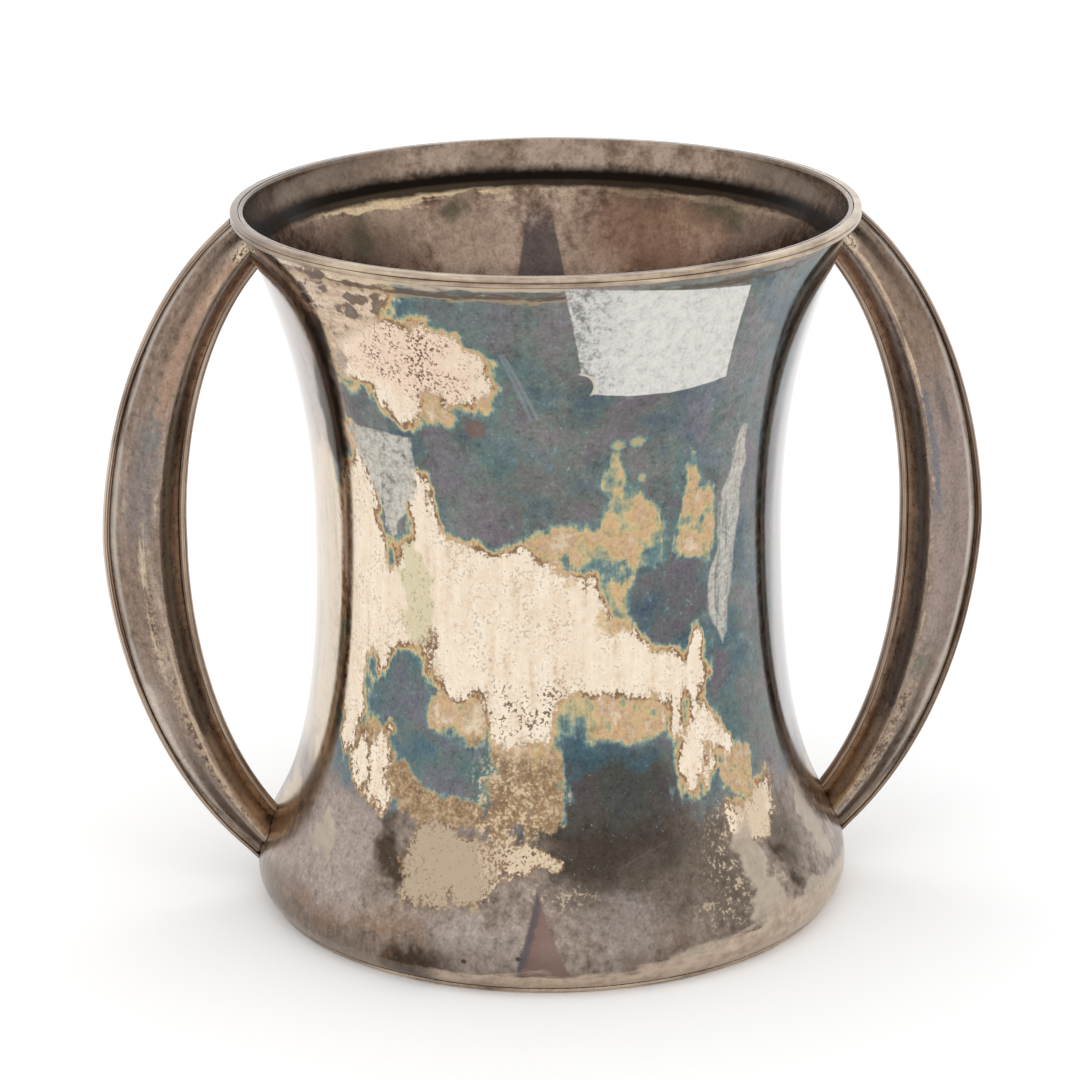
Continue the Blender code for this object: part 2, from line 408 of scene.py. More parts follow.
# Patches on the body's side. Each ellipse is degrees to the right of the front and height, then its half-width,
# half-height and turn, in millimetres and degrees.
EDGED_PATCHES = {
    "clean": [
        (-48, 167, 13.5, 9), (-41, 150.5, 13, 8.5), (-25, 151, 9.8, 8), (-38.5, 140.5, 5, 4.5),
        (-34, 112, 2.6, 10.5, 4), (-70, 100, 8, 26), (-53, 97, 9, 27), (-46, 89.5, 15, 11), (-29, 97, 13, 12.5),
        (-14, 93, 14, 14), (0, 88, 10, 11.5), (-25, 77.5, 8.5, 7), (-8, 77, 16, 8), (-10.5, 65, 8.5, 8),
        (9, 76.5, 14, 7.5), (22, 73.5, 9, 4.8), (32.5, 75, 3, 9), (24.6, 63, 1.7, 6), (28, 50.5, 3, 9.5, -8),
        (35.3, 57.5, 2.8, 8, 32), (33.5, 47, 0.7, 5, -20), (-72, 61, 5, 20), (-58.5, 66, 4, 20),
        (-45.6, 47, 2.6, 11.5, -8), (-51.3, 48, 2.2, 9), (-31, 28, 6, 8.8), (-22, 28.3, 5.5, 6),
        (-11, 32, 8.5, 2.8), (50.3, 36, 3.2, 4.5), (44, 32.8, 6.5, 3.2), (150, 96, 20, 15), (172, 84, 14, 20),
        (158, 108, 7, 9), (138, 86, 6, 12), (-172, 61, 14, 7), (166, 66, 5, 12), (-160, 67, 4, 9),
        (-151, 57, 4, 8), (142, 48, 3.6, 14), (147, 40, 3, 9), (138, 58, 2.2, 8), (-140, 40, 5, 10),
        (-147, 47, 3, 8), (-133, 36, 4, 6), (-158, 123, 9, 7), (-167, 127, 6, 4.5), (-151, 116, 5, 6),
    ],
    # Film left inside those
    "islands": [
        (-44, 109.5, 4.4, 4), (-44.3, 102, 2, 6.5), (-53.3, 70, 2.4, 8), (-41, 66, 7, 11, 25),
        (-34, 53.5, 5.5, 8.5, 28), (-26, 51.5, 5.5, 8), (-18.3, 45, 1.7, 6), (-18, 53, 3, 1.4),
        (21, 89.5, 8, 10.5), (31.5, 93, 7, 6.5), (38, 86, 2.5, 5), (162, 93, 4, 8), (157, 86, 3, 5),
        (-176, 75, 4, 6),
    ],
    # The thinner film, gold and olive
    "golden": [
        (14, 110, 8.2, 7.5), (18.5, 104, 5, 4.5), (8.8, 122, 1.4, 6.5), (5.5, 106, 5, 4), (-3, 109, 7, 3.2),
        (12.8, 89, 2.8, 9), (32.8, 107, 4.8, 8.5), (29.2, 118, 1.2, 7), (10, 64, 13, 5.5), (-21.8, 64, 3, 5.5),
        (-29, 66, 3.5, 4), (-29.5, 139, 5.5, 2.4), (-18, 145.5, 2, 4), (-51, 142.5, 4, 2), (-38.5, 43, 5, 5.5),
        (-15.5, 46, 3.5, 12), (-25, 40.5, 7, 3.5), (-34, 40, 6, 3.5), (-9.5, 50, 4, 10), (-5.5, 46, 3, 12),
        (36, 50.5, 4, 4), (42, 45, 6, 5), (-50, 50, 5, 11), (-55, 120, 3, 12), (165, 112, 11, 5),
        (178, 107, 6, 4), (-150, 65, 8, 5), (-142, 69, 5, 4), (135, 69, 4, 10), (140, 62, 3, 7),
        (-165, 136, 6, 3),
    ],
    # Painted reflection of the left handle: a dark band just in front of it
    "painted_handle_reflection": [(-58, 152, 3.2, 10), (-61.2, 137, 5, 12), (-61.6, 127, 4.2, 6)],
    # Rubbed pale: swirls near the base on the right
    "rubbed": [
        (41, 26, 3.6, 10, -6), (42, 16, 6, 6), (56, 8, 14, 5), (66, 25, 3.4, 13), (30, 4, 24, 5),
        (-130, 20, 9, 10), (-58, 27, 4, 5, 20),
    ],
    # Inside, where the line under the lip is bare
    "gilt": [(-145, 163, 12, 5), (-163, 163, 14, 5), (-133, 160, 6, 5), (30, 163, 20, 4)],
    "pitted": [
        (-32, 151, 13, 10), (-12, 66, 22, 8), (-12, 33, 12, 6), (-32, 39, 8, 3), (-53, 46, 3, 8),
        (160, 90, 18, 10),
    ],
    "flecked": [(34, 27, 3.6, 11), (31, 14, 5, 2), (-2, 24, 6, 2), (-14, 45, 10, 12), (-160, 55, 20, 8)],
    # Old glue on the right
    "strip": [(45.2, 122, 3.8, 11), (43.2, 109, 5.2, 13), (41, 95, 4.2, 12), (42.2, 84, 2.2, 7)],
}
# Soft patches of another shade: its colour, how strong it is, how soft its edge is in millimetres, and where
FILM_PATCHES = {
    "teal": ((94, 128, 124), 0.85, 6, [
        (-22, 166, 14, 7), (-13, 148, 4, 10), (-17, 127, 6, 4), (24, 110, 3, 16), (160, 130, 18, 12),
    ]),
    "slate": ((92, 95, 95), 0.6, 5, [(18, 136, 8, 7), (-8, 120, 14, 8), (-150, 90, 12, 14)]),
    "violet": ((142, 124, 132), 0.75, 3, [(29.5, 133.5, 4.5, 4.5), (180, 140, 10, 8)]),
    "pearl": ((140, 143, 147), 0.8, 6, [(46, 135, 9, 36), (52, 100, 5, 30)]),
    "ink": ((78, 81, 95), 0.9, 4, [(26, 89, 12, 11)]),
    "sea": ((80, 107, 113), 0.85, 5, [
        (-44, 70, 12, 14), (-30, 54, 12, 9), (40, 66, 8, 18), (-160, 45, 14, 10),
    ]),
    "plum": ((104, 90, 104), 0.8, 3, [(40.3, 70.5, 3.5, 6)]),
    # Painted reflection of a dark object in front of the cup, low at the front
    "front_reflection_film": ((70, 67, 61), 0.95, 6, [(8, 43, 18, 16)]),
    "blue": ((62, 94, 107), 0.8, 4, [(6, 56, 15, 3.5)]),
}
DIRT_PATCHES = {
    # Dark brown near the base at the front: partly film, partly a painted reflection of a dark object in front of
    # the cup
    "peat_and_front_reflection": ((92, 82, 71), 0.75, 7, [(18, 30, 20, 18), (33, 21, 8, 13), (54, 25, 6, 9)]),
    # Painted reflection of a dark object in front of the cup, low at the front
    "front_reflection_dark": ((70, 62, 55), 0.95, 7, [(8, 41, 18, 16)]),
    "ash": ((170, 154, 146), 0.75, 6, [(-54, 30, 14, 16), (-75, 25, 12, 14), (150, 25, 16, 12)]),
    "umber": ((70, 57, 45), 0.95, 3, [
        (-42, 32, 4.6, 10), (-37.5, 25, 2.4, 6), (-32, 4.5, 6.5, 6.5), (50, 20, 2, 8, 18),
    ]),
    "rust": ((138, 106, 80), 0.65, 4, [(-36, 12, 5, 3), (-52, 12, 10, 2), (170, 10, 16, 4)]),
    "honey": ((220, 196, 166), 0.8, 3, [(-84, 24, 8, 9), (82, 24, 7, 8)]),
    "lilac": ((160, 148, 141), 0.55, 4, [(9, 13, 7, 8), (-20, 12, 8, 7)]),
    "sepia": ((122, 102, 87), 0.6, 5, [(-64, 9, 16, 5), (-46, 7, 10, 4), (18, 8, 9, 3), (-150, 12, 20, 5)]),
}
METAL_PATCHES = {
    "straw": ((208, 198, 164), 0.8, 1.2, [(-37, 96, 5, 19, 10)]),
    "dull": ((172, 152, 130), 0.9, 3, [(-28, 28, 14, 15)]),
    "stained": ((206, 184, 156), 0.8, 3, [(-9, 32, 9, 8), (47, 34, 10, 9)]),
    "rosy": ((236, 208, 186), 0.8, 4, [(-33, 151, 16, 10)]),
    "brassy": ((206, 178, 128), 0.8, 1.2, [
        (7, 88, 4, 3), (8, 99, 4, 2.2), (-21, 71, 3, 1.2), (22, 79.5, 6, 1.2, -10),
    ]),
    "smoky": ((146, 128, 114), 0.75, 2, [(-53, 151, 1.6, 6), (-61, 156, 4, 8)]),
}
INNER_PATCHES = {
    "inner_light": ((158, 136, 119), 0.65, 4, [(-167, 152, 11, 12), (-152, 158, 8, 6), (168, 150, 5, 12)]),
    "inner_dark": ((96, 79, 69), 0.8, 4, [
        (-137, 152, 16, 9), (-120, 150, 10, 12), (120, 150, 12, 14), (108, 160, 12, 9),
    ]),
    "inner_olive": ((72, 68, 54), 0.85, 2.5, [
        (-141, 156, 3.5, 5), (154, 162, 7, 3.4), (136, 161, 7, 3.4), (-165, 160, 3, 2),
    ]),
    "inner_red": ((128, 97, 78), 0.6, 5, [(150, 153, 18, 10), (-60, 120, 20, 20), (40, 100, 20, 25)]),
}
LIP_PATCHES = {
    "lip_dark": ((96, 83, 73), 0.7, 5, [
        (-130, 172, 20, 9), (-105, 172, 20, 9), (118, 172, 14, 9), (-172, 168, 6, 3),
    ]),
    "lip_light": ((162, 144, 130), 0.7, 3, [
        (-160, 173, 6, 3), (172, 172, 8, 3), (148, 172, 8, 3), (0, 172, 30, 6),
    ]),
}

# How far outside every patch a place counts as being, in millimetres
FAR_OUTSIDE = -60.0
# The bumps that shake the patches' places: how many per metre, and how many millimetres they move a place
COARSE, COARSE_MOVE = 48, 3.6
FINE, FINE_MOVE = 190, 2.2
HERE, ELSEWHERE = Vector((0, 0, 0)), Vector((7.3, 3.1, 11.7))


def patch_depth(degrees, height, places, soft=2.5):
    """How many millimetres each place lies inside some ellipses, which melt together where they meet."""
    total = np.full(degrees.shape, FAR_OUTSIDE)
    for middle, level, across, up, *turn in places:
        angle = math.radians(turn[0] if turn else 0)
        right = ((degrees - middle + 180) % 360 - 180) * MM_PER_DEGREE
        above = height - level
        u = (right * math.cos(angle) + above * math.sin(angle)) / across
        v = (above * math.cos(angle) - right * math.sin(angle)) / up
        share = np.maximum(np.hypot(u, v), 1e-6)
        inside = np.where(share < 1, (1 - share) * min(across, up), np.hypot(right, above) * (1 / share - 1))
        near = np.maximum(soft - np.abs(total - inside), 0) / soft
        total = np.maximum(total, inside) + near * near * soft / 4
    return total


def shaken_places(points):
    """Degrees round the body and height in millimetres of each point, shaken so that patches aren't smooth."""
    def shake(place, shift):
        return noise.noise(place * COARSE + shift) * COARSE_MOVE + noise.noise(place * FINE + shift) * FINE_MOVE

    degrees, height = [], []
    for x, y, z in points:
        place = Vector((x, y, z))
        degrees.append(math.degrees(math.atan2(x, -y)) + shake(place, HERE) / MM_PER_DEGREE)
        height.append(z * 1000 + shake(place, ELSEWHERE))
    return np.array(degrees), np.array(height)


def mark_patches(mesh):
    """Writes how deep each point lies in each kind of patch, in millimetres, for the material to read."""
    degrees, height = shaken_places([vertex.co for vertex in mesh.vertices])
    depths = {name: patch_depth(degrees, height, places) for name, places in EDGED_PATCHES.items()}
    islands = depths.pop("islands")
    for name in ("clean", "golden"):
        depths[name] = np.minimum(depths[name], -2 * islands)
    for group in (FILM_PATCHES, DIRT_PATCHES, METAL_PATCHES, INNER_PATCHES, LIP_PATCHES):
        for name, (*_, places) in group.items():
            depths[name] = patch_depth(degrees, height, places)
    for name, depth in depths.items():
        mesh.attributes.new(name, "FLOAT", "POINT").data.foreach_set("value", depth.astype(np.float32))


class Wrap(Graph):
    """A graph with places on the body: degrees and millimetres to the right of the front, and millimetres up."""

    def __init__(self, name):
        super().__init__(name)
        x, y, z = self.node("SeparateXYZ", {0: self.coords}).outputs
        self.right = self.math("MULTIPLY", x, 1000)
        self.height = self.math("MULTIPLY", z, 1000)
        self.degrees = self.math("MULTIPLY", self.math("ARCTAN2", x, self.math("MULTIPLY", y, -1)), 180 / math.pi)

    def right_of(self, degrees, unit=1):
        """How far a place is to the right of some degrees, in units of so many millimetres."""
        per_degree = MM_PER_DEGREE / unit
        return self.degrees * per_degree - degrees * per_degree

    def panel(self, degrees, height, across, up):
        """Millimetres inside a rectangle."""
        return self.least(across - abs(self.right_of(degrees)), up - abs(self.height - height))

    def wedge(self, right, apex, foot, left_foot, right_foot):
        """Millimetres inside a triangle, given by its apex and by its foot's height and two ends.

        The second value is millimetres from its left side.
        """
        depth = apex[1] - foot
        share = self.height * (-1 / depth) + apex[1] / depth
        from_apex = right - apex[0]
        from_left = share * (apex[0] - left_foot) + from_apex
        return self.least(from_left, share * (right_foot - apex[0]) - from_apex), from_left

    def scratch(self, degrees, height, lean, length):
        """Millimetres from a thin scratch."""
        above = self.height - height
        return self.most(abs(above * lean + self.right_of(degrees)), abs(above) - length / 2)

    def spot(self, degrees, height, across, up):
        """How deep a place lies in a small oval, from 1 in its middle to 0 at its edge."""
        return 1 - self.length(self.right_of(degrees, across), self.height * (1 / up) - height / up)

    def patches(self, colour, group, wobble):
        """The colour with soft patches of others in it."""
        for name, (shade, strength, soft, _) in group.items():
            mask = self.step(self.attribute(name) + wobble, -soft, soft, 0, strength)
            colour = self.mix(mask, colour, shade)
        return colour


class Tarnish(Wrap):
    """The body's graph, with the noises and edges that its layers share."""

    def __init__(self):
        super().__init__("body_tarnish")
        self.cloud = self.noise(34, 3, 0.55)
        self.drift = self.noise(110, 3, 0.6)
        self.hue = self.noise(75, 3, 0.6, self.vector("ADD", self.coords, (0.7, 0.3, 0.5)))
        self.grain = self.noise(430, 4, 0.65)
        self.speck = self.noise(1250, 2, 0.6)
        self.fleck = self.noise(1350, 2, 0.6)
        self.streak = self.noise(420, 3, 0.65, self.stretched(1, 1, 0.14))
        self.around = self.noise(300, 3, 0.6, self.stretched(0.35, 0.35, 1.6))
        self.mottle = self.grain * 0.5 + self.speck * 0.5
        self.grained_streak = self.streak * 0.5 + self.grain * 0.5
        self.sway = self.drift * 24 + (self.grain * 6 - 15)
        self.swayed = self.degrees + self.sway
        self.swayed_height = self.height + self.sway
        self.rough_edge = self.grain * 4.5 + (self.streak * 5 - 4.75)
        # Millimetres into the clean metal
        self.clean = self.attribute("clean") + self.rough_edge + 1.2


def thick_film(g):
    """Grey, teal and violet film, brown near the base and on the left. Returns where it is brown."""
    field = g.ramp(g.cloud * 0.55 + g.drift * 0.45, [
        (0.38, 88, 93, 97), (0.45, 106, 112, 113), (0.50, 122, 127, 124), (0.55, 128, 126, 128),
        (0.63, 146, 141, 141),
    ])
    field = g.patches(field, FILM_PATCHES, g.sway)
    tint = g.ramp(g.hue, [
        (0.38, 86, 112, 126), (0.46, 108, 128, 124), (0.53, 128, 128, 118), (0.62, 136, 118, 128),
    ])
    # The tint is weaker in the painted reflection of a dark object in front of the cup
    field = g.mix(g.step(g.attribute("front_reflection_film"), -6, 6, 0.42, 0.1), field, tint)
    brown = g.ramp(g.streak * 0.35 + (g.grain * 0.35 + g.drift * 0.3), [
        (0.34, 106, 93, 84), (0.46, 142, 126, 115), (0.56, 162, 147, 136), (0.68, 184, 170, 157),
    ])
    brown = g.patches(brown, DIRT_PATCHES, g.sway)
    low = g.step(g.swayed_height, 34, 44, 1, 0)
    side_left = g.step(g.degrees, -52, -57) * g.step(g.swayed, -132, -122)
    dirty = g.most(low, side_left * g.step(g.sway * 0.5 + g.height, 120, 126))
    g.colour = g.mix(dirty, field, brown)
    g.colour = g.shade(g.colour, g.mottle, [(0.36, 0.62), (0.44, 0.84), (0.52, 0.94), (0.62, 1.12)])
    return dirty


def film_edge(g, dirty):
    """The film's edge, from teal through olive and gold to red-brown. Returns how far inside it a place is."""
    lower = g.step(g.swayed_height, 62, 54) * g.step(abs(g.degrees + 30), 48, 34, 0.1, 0.8)
    in_streaks = (g.streak - 0.5) * g.step(g.height, 72, 60, 2, 5)
    thin_film = lower + (g.hue * 11 + (in_streaks + (g.grain * 1.8 - 6.5)))
    gold = g.least(g.attribute("golden") + g.rough_edge, thin_film)
    inside = g.most(g.clean, gold)
    fringe = g.ramp(g.step(inside, -3, 1.8), [
        (0, 98, 120, 122), (0.16, 104, 136, 140), (0.30, 150, 160, 138), (0.42, 190, 180, 140),
        (0.50, 206, 182, 136), (0.60, 202, 160, 118), (0.70, 150, 118, 88), (0.84, 136, 112, 90),
        (1, 170, 148, 122),
    ])
    faint = g.ramp(g.step(inside, -2.8, 2), [
        (0, 100, 119, 121), (0.20, 116, 141, 138), (0.36, 160, 162, 134), (0.50, 200, 182, 138),
        (0.62, 212, 176, 134), (0.76, 206, 178, 146), (1, 226, 206, 178),
    ])
    golden = g.step(gold - g.clean, -0.8, 0.4, 0, 0.85) - lower * 0.7
    fringe = g.mix(g.most(g.step(g.drift, 0.47, 0.55, 0, 0.8), golden), fringe, faint)
    fringe = g.shade(fringe, g.mottle, [(0.36, 0.72), (0.5, 0.96), (0.64, 1.1)])
    browner = g.ramp(g.mottle, [(0.42, 120, 97, 75), (0.50, 148, 121, 93), (0.60, 182, 156, 122)])
    fringe = g.mix(lower * g.step(inside, -1.6, -0.4), fringe, browner)
    near = g.step(inside - (dirty * 2.4 - 2.8), 0, 1.6)
    g.lay(near, fringe)
    return inside


def bare_metal(g):
    """Clean cream metal, pinkish and streaked under the rim on the left, and pitted. Returns where it is."""
    cream = g.ramp(g.grained_streak, [(0.34, 214, 193, 166), (0.44, 233, 214, 190), (0.60, 241, 228, 208)])
    cream = g.patches(cream, METAL_PATCHES, g.sway)
    corner = g.degrees * -0.64 + (g.height - 185) + (g.around * 7 + (g.grain * 6 - 6.5))
    top_left = g.step(corner, -1.5, 2.5) * g.step(g.degrees, -20, -26) * g.step(g.swayed, -112, -104)
    streaky = g.ramp(g.around * 0.6 + g.grain * 0.4, [
        (0.38, 128, 108, 94), (0.46, 190, 166, 144), (0.56, 218, 195, 170),
    ])
    shift = g.vector("MULTIPLY", g.noise(260, 2, 0.5, output="Color"), (0.007, 0.007, 0.007))
    from_middle, cell = g.cells(165, g.vector("ADD", g.stretched(0.8, 0.8, 1.6), shift))
    ovals = cell * 0.95 - from_middle
    streaky = g.mix(g.step(ovals, 0, 0.09, 0, 0.9), streaky, (108, 91, 81))
    streaky = g.mix(g.step(ovals, 0.22, 0.34, 0, 0.7), streaky, (124, 123, 117))
    bare = g.step(g.clean + (g.speck * 5 - 2.5), 0.5, 1.5)
    g.lay(bare, g.mix(top_left, cream, streaky))

    # Pits in the bare metal, and flecks of it in the brown
    pitted = g.step(g.attribute("pitted"), -2, 4)
    pits = g.step(pitted * 0.025 + g.fleck, 0.55, 0.59) * (pitted * 0.55 + 0.35)
    spread = g.step(g.drift * 0.5 + g.grain * 0.5, 0.46, 0.54, 0.12, 1)
    g.lay(pits * bare * spread, (106, 80, 64))
    flecks = g.step(g.mottle, 0.54, 0.57) * g.step(g.attribute("flecked"), -3, 3, 0, 0.8)
    g.lay(flecks, (206, 186, 156))
    return bare


def small_marks(g, inside, bare):
    # Blue-green marks, light scratches in the film, and dust
    marks = g.step(g.grain * 0.7 + g.fleck * 0.3, 0.6, 0.64, 0, 0.4) * g.step(g.height, 52, 66, 0.05, 1)
    g.lay(marks * g.step(inside, -1.5, -3.5), (128, 162, 170))
    lines = g.least(g.scratch(-10.7, 147, 0.36, 16), g.scratch(-9.7, 147.2, 0.41, 16))
    lines = g.least(lines, g.scratch(15, 31, -2.6, 4.4) + 0.4)
    g.lay(g.step(lines, 0.75, 0.1, 0, 0.4), (150, 156, 168))
    dust = g.step(g.fleck, 0.7, 0.72, 0, 0.4) * (1 - bare)
    g.lay(dust, (178, 190, 190))

    # A red-brown spot, three golden dots ringed with teal, and two pits near the base
    rusty = g.speck * 0.8 + (g.spot(-20, 136, 2.8, 2.6) - 0.4)
    g.lay(g.step(rusty, 0, 0.3, 0, 0.65), (126, 96, 82))
    dots = g.most(g.spot(11, 131.6, 2.2, 1.7), g.spot(15.5, 132.1, 2.6, 1.7), g.spot(17, 122.9, 1.5, 1.5))
    dots = g.speck * 0.9 + (dots - 0.45)
    ringed = g.ramp(dots, [(0.15, 100, 140, 144), (0.35, 150, 162, 136), (0.55, 192, 178, 136)])
    g.lay(g.step(dots, 0, 0.12, 0, 0.75), ringed)
    pinholes = g.most(g.spot(-20.9, 8.5, 0.7, 0.7), g.spot(-10.7, 10, 0.8, 0.7))
    g.lay(g.step(pinholes, 0, 0.5, 0, 0.85), (58, 50, 46))

    # A dark wedge at the front of the base: a painted reflection of the camera and its stand
    inside_painted_reflection, from_left = g.wedge(g.degrees, (-7.4, 25), 3, -12, -0.3)
    wedge_reflection_tone = g.ramp(from_left * 0.16 + g.grain * 0.3, [
        (0.10, 84, 78, 82), (0.34, 90, 82, 86), (0.46, 124, 99, 91), (0.95, 128, 106, 97),
    ])
    g.lay(g.step(inside_painted_reflection, -0.2, 0.5, 0, 0.9), wedge_reflection_tone)


def under_rim(g):
    """Under the rim wire: dirty lines, then a rubbed one."""
    under = g.height + (g.around * 5 - 2.5)

    def line(low, low_end, high_end, high):
        return g.step(under, low, low_end) * g.step(under, high, high_end)

    dark_line = line(169.4, 170, 170.8, 171.4) * g.step(g.around, 0.42, 0.5, 0.35, 0.9)
    g.lay(dark_line, (104, 88, 76))
    on_left = g.step(abs(g.degrees + 50), 56, 46, 0, 0.6)
    g.lay(line(168.6, 169.2, 169.4, 170) * on_left, (176, 152, 118))
    light_line = g.step(under, 171, 172) * g.step(g.degrees, 4, -4, 0.15, 0.8)
    g.lay(light_line * g.step(g.degrees, -48, -38, 0.19, 1), (206, 186, 160))


def rubbed_base(g):
    """Pale swirls near the base, and the rolled edge rubbed bare, further up on the right, and painted lighter to
    offset the floor's contact shadow.
    """
    swirl = g.around * 3 + (g.grain * 3 + (g.attribute("rubbed") - 3))
    tan = g.ramp(g.grain * 0.4 + g.cloud * 0.6, [(0.40, 164, 150, 135), (0.60, 188, 173, 156)])
    g.lay(g.step(swirl, -0.4, 1.2, 0, 0.9), tan)
    from_right_side = abs(g.degrees - 75)
    edge = g.height + (g.around * 8 - 4)
    edge = edge - g.step(from_right_side, 71, 25, 0, 6)
    # The rolled edge: rubbed bare, and painted lighter to offset the floor's contact shadow
    rubbed = g.step(edge, 6.4, 4.6) * g.step(from_right_side, 105, 100, 0.2, 1)
    tone = g.ramp(g.around * 0.5 + g.grain * 0.5, [
        (0.38, 172, 153, 136), (0.52, 198, 179, 159), (0.64, 210, 193, 173),
    ])
    g.lay(rubbed, tone)


def tape(g):
    """Paper and glue left by tape. Returns where the paper is, and where either is."""
    # The paper at the top: four edges, the lowest of them sagging, and a corner curled up
    both = g.fleck * 0.4 + g.grain * 0.6
    tremble = g.drift * 1.6 - 0.8
    thin = g.step(g.degrees, -2, 15, 0.2, 0)
    frayed = g.step(both - thin, 0.20, 0.38, 0.45, 1)
    from_left = g.height * 0.17 + (g.degrees - 27.9)
    from_right = 36 - g.degrees
    from_top = g.degrees * -0.115 + (172.7 - g.height)
    sag = g.math("POWER", abs(g.degrees - 20), 2)
    from_bottom = sag * -0.006 + (g.height - 143.6)
    inside = g.least(g.least(from_left, from_right), g.least(from_top, from_bottom))
    inside = tremble * 0.5 + inside
    corner_curl = g.spot(2, 147, 3.4, 3.4) * -3.4
    paper = g.step(g.least(inside, corner_curl), 0, 0.35) * frayed
    curl = g.step(abs(corner_curl), 0.45, 0.15) * g.step(inside, -0.6, 0.2)

    # Glue on the left, ragged where it runs out below, and a strip of it on the right
    low_left = g.degrees * 0.94 + (g.height * 0.435 - 4.9)
    low_right = g.degrees * -0.89 + (g.height * 0.5 - 91.3)
    ragged = g.least(low_left, low_right) + (g.streak * 8 + (g.grain * 4 - 6))
    residue = g.least(g.panel(-45.5, 119, 10.6, 13.4) + tremble, ragged)
    residue = g.step(residue, 0, 0.8) * g.step(g.grained_streak, 0.36, 0.48, 0.25, 0.9)
    strip = g.step(g.attribute("strip"), 0, 0.9, 0, 0.85)
    glue = g.most(residue, strip * g.step(g.streak, 0.34, 0.5, 0.4, 1))
    g.lay(glue, g.ramp(g.mottle, [
        (0.36, 142, 136, 126), (0.48, 184, 179, 168), (0.60, 206, 202, 192),
    ]))
    g.lay(paper, g.ramp(thin * -0.7 + both, [
        (0.28, 156, 155, 151), (0.40, 196, 195, 190), (0.50, 212, 210, 204), (0.62, 222, 219, 212),
    ]))
    g.lay(curl * 0.8, (222, 208, 186))
    return paper, g.most(glue * 0.6, paper)


def clean_sides(g):
    """The sides under the handles are nearly clean, with a painted reflection of the left handle, a dark band, in
    front of it.
    """
    turned_away = abs(g.degrees)
    back_edge = g.sway * 1.6 + turned_away
    pale = g.step(turned_away, 62, 68) * g.step(back_edge, 121, 111) * g.step(g.swayed_height, 30, 50, 0, 0.85)
    side = g.mix(g.step(g.swayed_height, 116, 134), (216, 200, 180), (188, 180, 177))
    side = g.mix(g.step(g.degrees, -1, 1), side, (192, 186, 186))
    side = g.shade(side, g.streak * 0.6 + g.grain * 0.4, [(0.36, 0.8), (0.5, 1)])
    g.lay(pale, side)
    # A painted reflection of the left handle: a dark band in front of it
    painted_handle_reflection = g.step(g.attribute("painted_handle_reflection") + g.rough_edge * 0.3, -0.9, 1.2, 0, 0.88)
    g.lay(painted_handle_reflection, (62, 50, 42))


def body_silver():
    g = Tarnish()
    dirty = thick_film(g)
    inside = film_edge(g, dirty)
    bare = bare_metal(g)
    small_marks(g, inside, bare)
    under_rim(g)
    rubbed_base(g)
    paper, stuck = tape(g)
    clean_sides(g)
    rough = g.step(g.height, 52, 30) * 0.14 + g.step(g.grain, 0.3, 0.7, 0.07, 0.14)
    rough = stuck * 0.42 + rough
    g.bump(paper + g.grain * 0.12, 0.00008, 0.6)
    return g.finish(rough, stuck * -0.8 + 1)


def inner_silver():
    g = Wrap("inside_tarnish")
    cloud = g.noise(60, 4, 0.6, g.stretched(1, 1, 0.6))
    blotch = g.noise(125, 3, 0.6, g.stretched(1, 1, 0.7))
    grain = g.noise(430, 4, 0.7)
    speck = g.noise(1300, 2, 0.6)
    around = g.noise(300, 3, 0.6, g.stretched(0.3, 0.3, 1.4))
    mottle = grain * 0.5 + speck * 0.5
    wobble = blotch * 16 + (grain * 6 - 11)
    both = cloud * 0.3 + (grain * 0.3 + blotch * 0.4)
    g.colour = g.ramp(both, [
        (0.41, 90, 71, 60), (0.47, 114, 93, 80), (0.53, 139, 118, 103), (0.60, 174, 153, 136),
    ])
    g.colour = g.patches(g.colour, INNER_PATCHES, wobble)

    # A dark wedge at the back: a painted reflection of the camera and its stand
    below_lip = grain * 8 + (g.height - 4)
    inside_painted_reflection = g.wedge(g.right, (3.6, 176), 141, -3, 10)[0]
    wedge = g.step(inside_painted_reflection, -0.2, 0.6, 0, 0.9) * g.step(below_lip, 162, 152)
    g.lay(wedge * g.step(abs(g.degrees), 120, 130), (80, 72, 71))

    # Bare metal shows in a broken line close under the painted shade line below the lip
    ragged = around * 9 + (blotch * 8 - 8.5)
    below = g.height + ragged
    gilt = g.step(below, 162, 163.2) * g.step(g.attribute("gilt"), -2, 2, 0.15, 0.95)
    g.lay(gilt, (196, 174, 142))
    g.colour = g.shade(g.colour, mottle, [(0.38, 0.74), (0.48, 0.93), (0.60, 1.1)])
    # A black line under the lip: painted shade where the wall would crease
    painted_shade_line = g.height + ragged * 0.25
    g.lay(g.step(painted_shade_line, 163.2, 164.4, 0, 0.95), (38, 31, 25))

    # The lip: black low down, painted shade as in a crease, then mottled brown
    lip = g.ramp(blotch * 0.5 + grain * 0.5, [(0.38, 110, 93, 80), (0.48, 138, 119, 104), (0.58, 162, 143, 127)])
    lip = g.patches(lip, LIP_PATCHES, wobble)
    lip = g.shade(lip, mottle, [(0.38, 0.82), (0.5, 0.98), (0.62, 1.08)])
    rise = grain * 1.6 + (g.height - 165.8)
    lip = g.mix(g.step(rise, 2.2, 5.3), (24, 19, 15), lip)
    g.lay(g.step(g.height, 165.2, 166), lip)
    g.bump(speck * 0.3 + grain, 0.00005, 0.5)
    return g.finish(g.step(grain, 0.3, 0.7, 0.12, 0.26))


